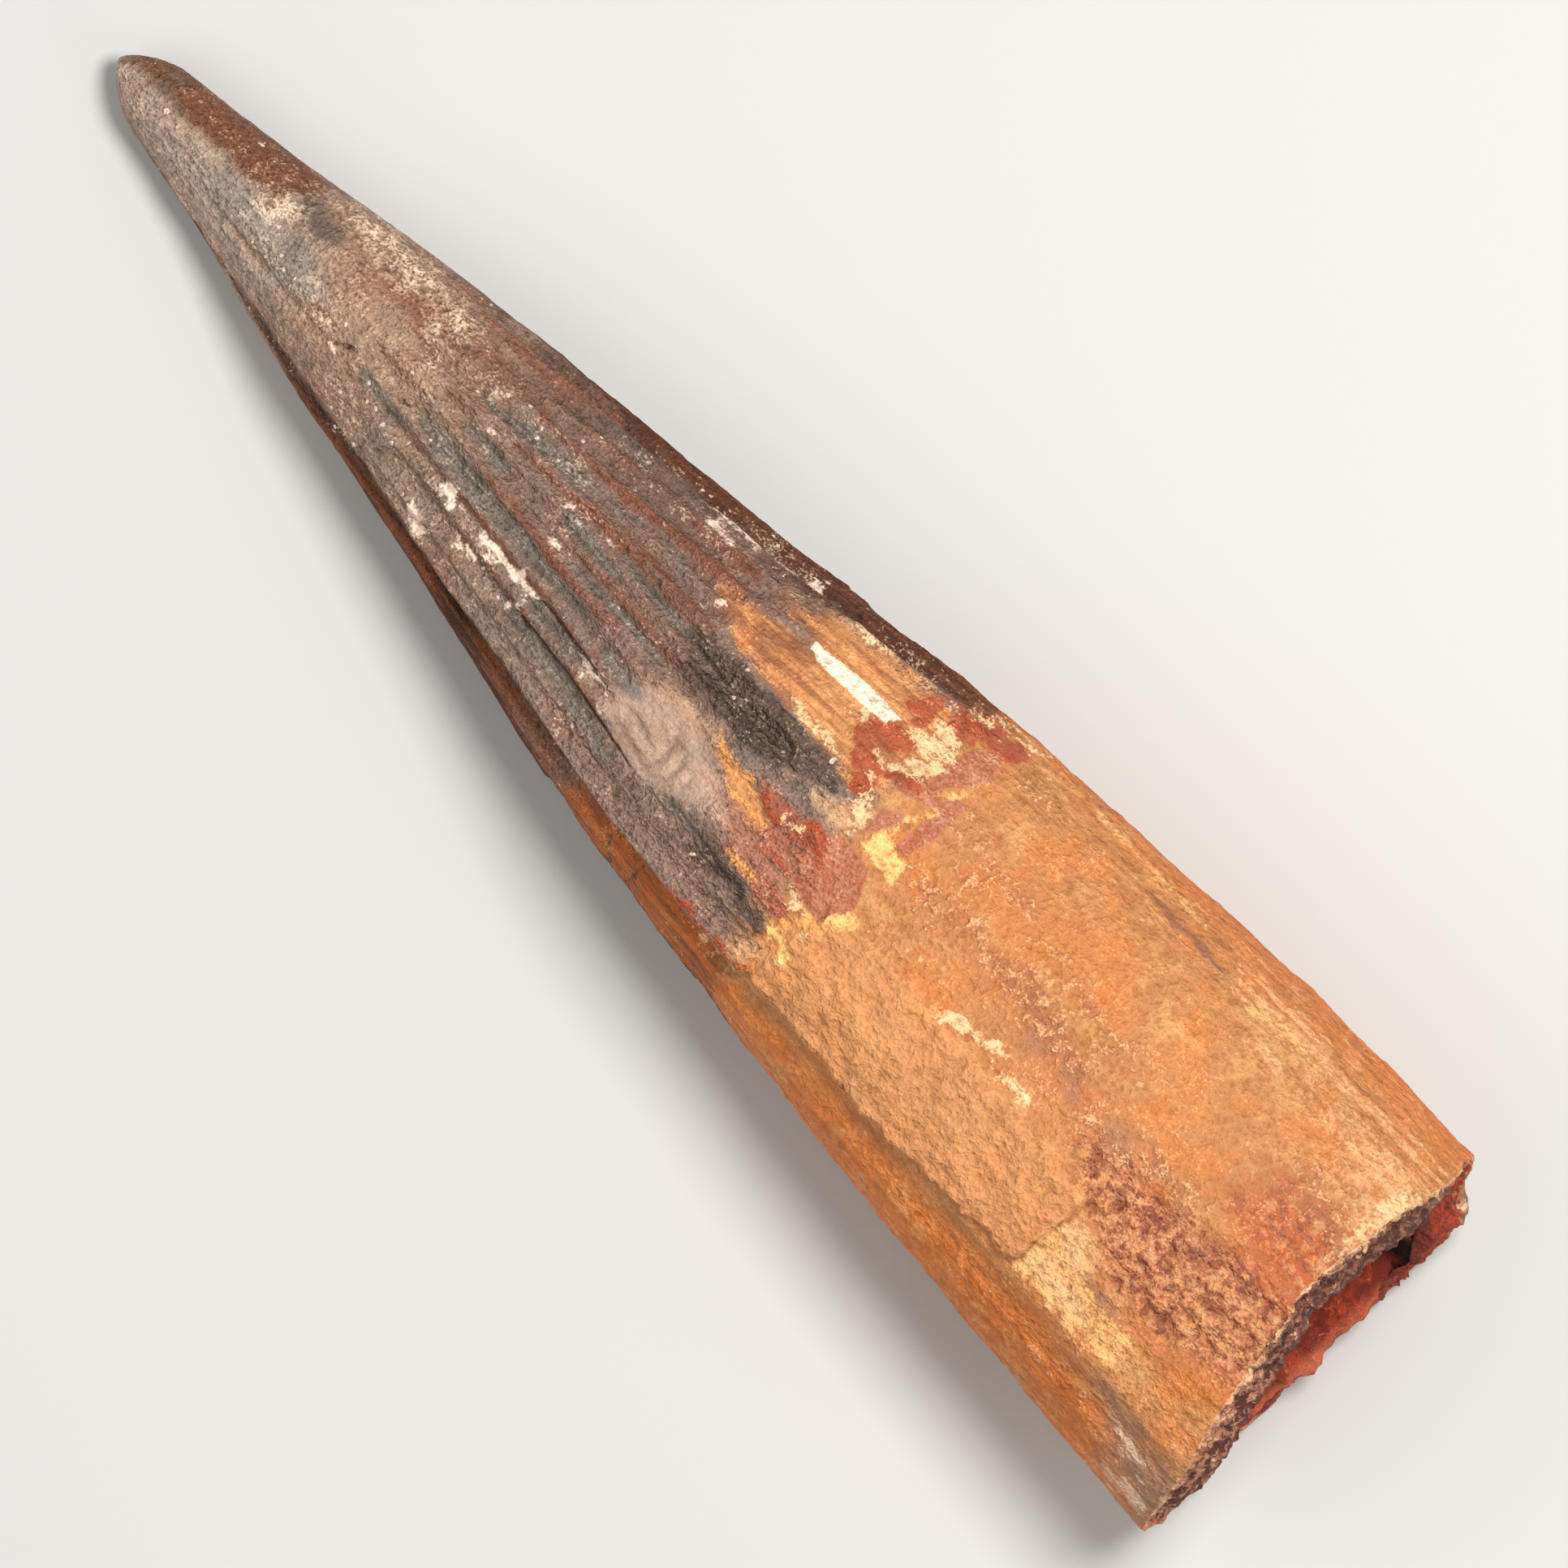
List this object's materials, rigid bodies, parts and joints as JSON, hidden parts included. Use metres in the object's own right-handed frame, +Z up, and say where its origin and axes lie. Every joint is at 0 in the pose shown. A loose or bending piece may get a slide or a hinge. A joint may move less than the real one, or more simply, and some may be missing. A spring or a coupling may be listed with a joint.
{
  "type": "fossil spinosaurus tooth",
  "caption": "Fossil Spinosaurus tooth, a tapering fluted crown on an ochre root, broken at the base with red sandstone in its hollow, lying on its side.",
  "frame": {"origin": "middle of the bottom of the bounding box, on the surface that the tooth rests on", "axes": "+X runs along the tooth from its tip to its broken base, +Y is across it, away from the cutting edge that shows from above, +Z is up"},
  "size_m": [0.1224, 0.034, 0.0261],
  "materials": {
    "fossil_tooth": "mineralised enamel and dentine, satin, from grey-brown fluted enamel to ochre root",
    "red_sandstone": "matt, fine-grained red sandstone"
  },
  "bodies": {
    "root": {"tooth": "fossil_tooth", "sediment_fill": "red_sandstone"}
  },
  "joints": []
}
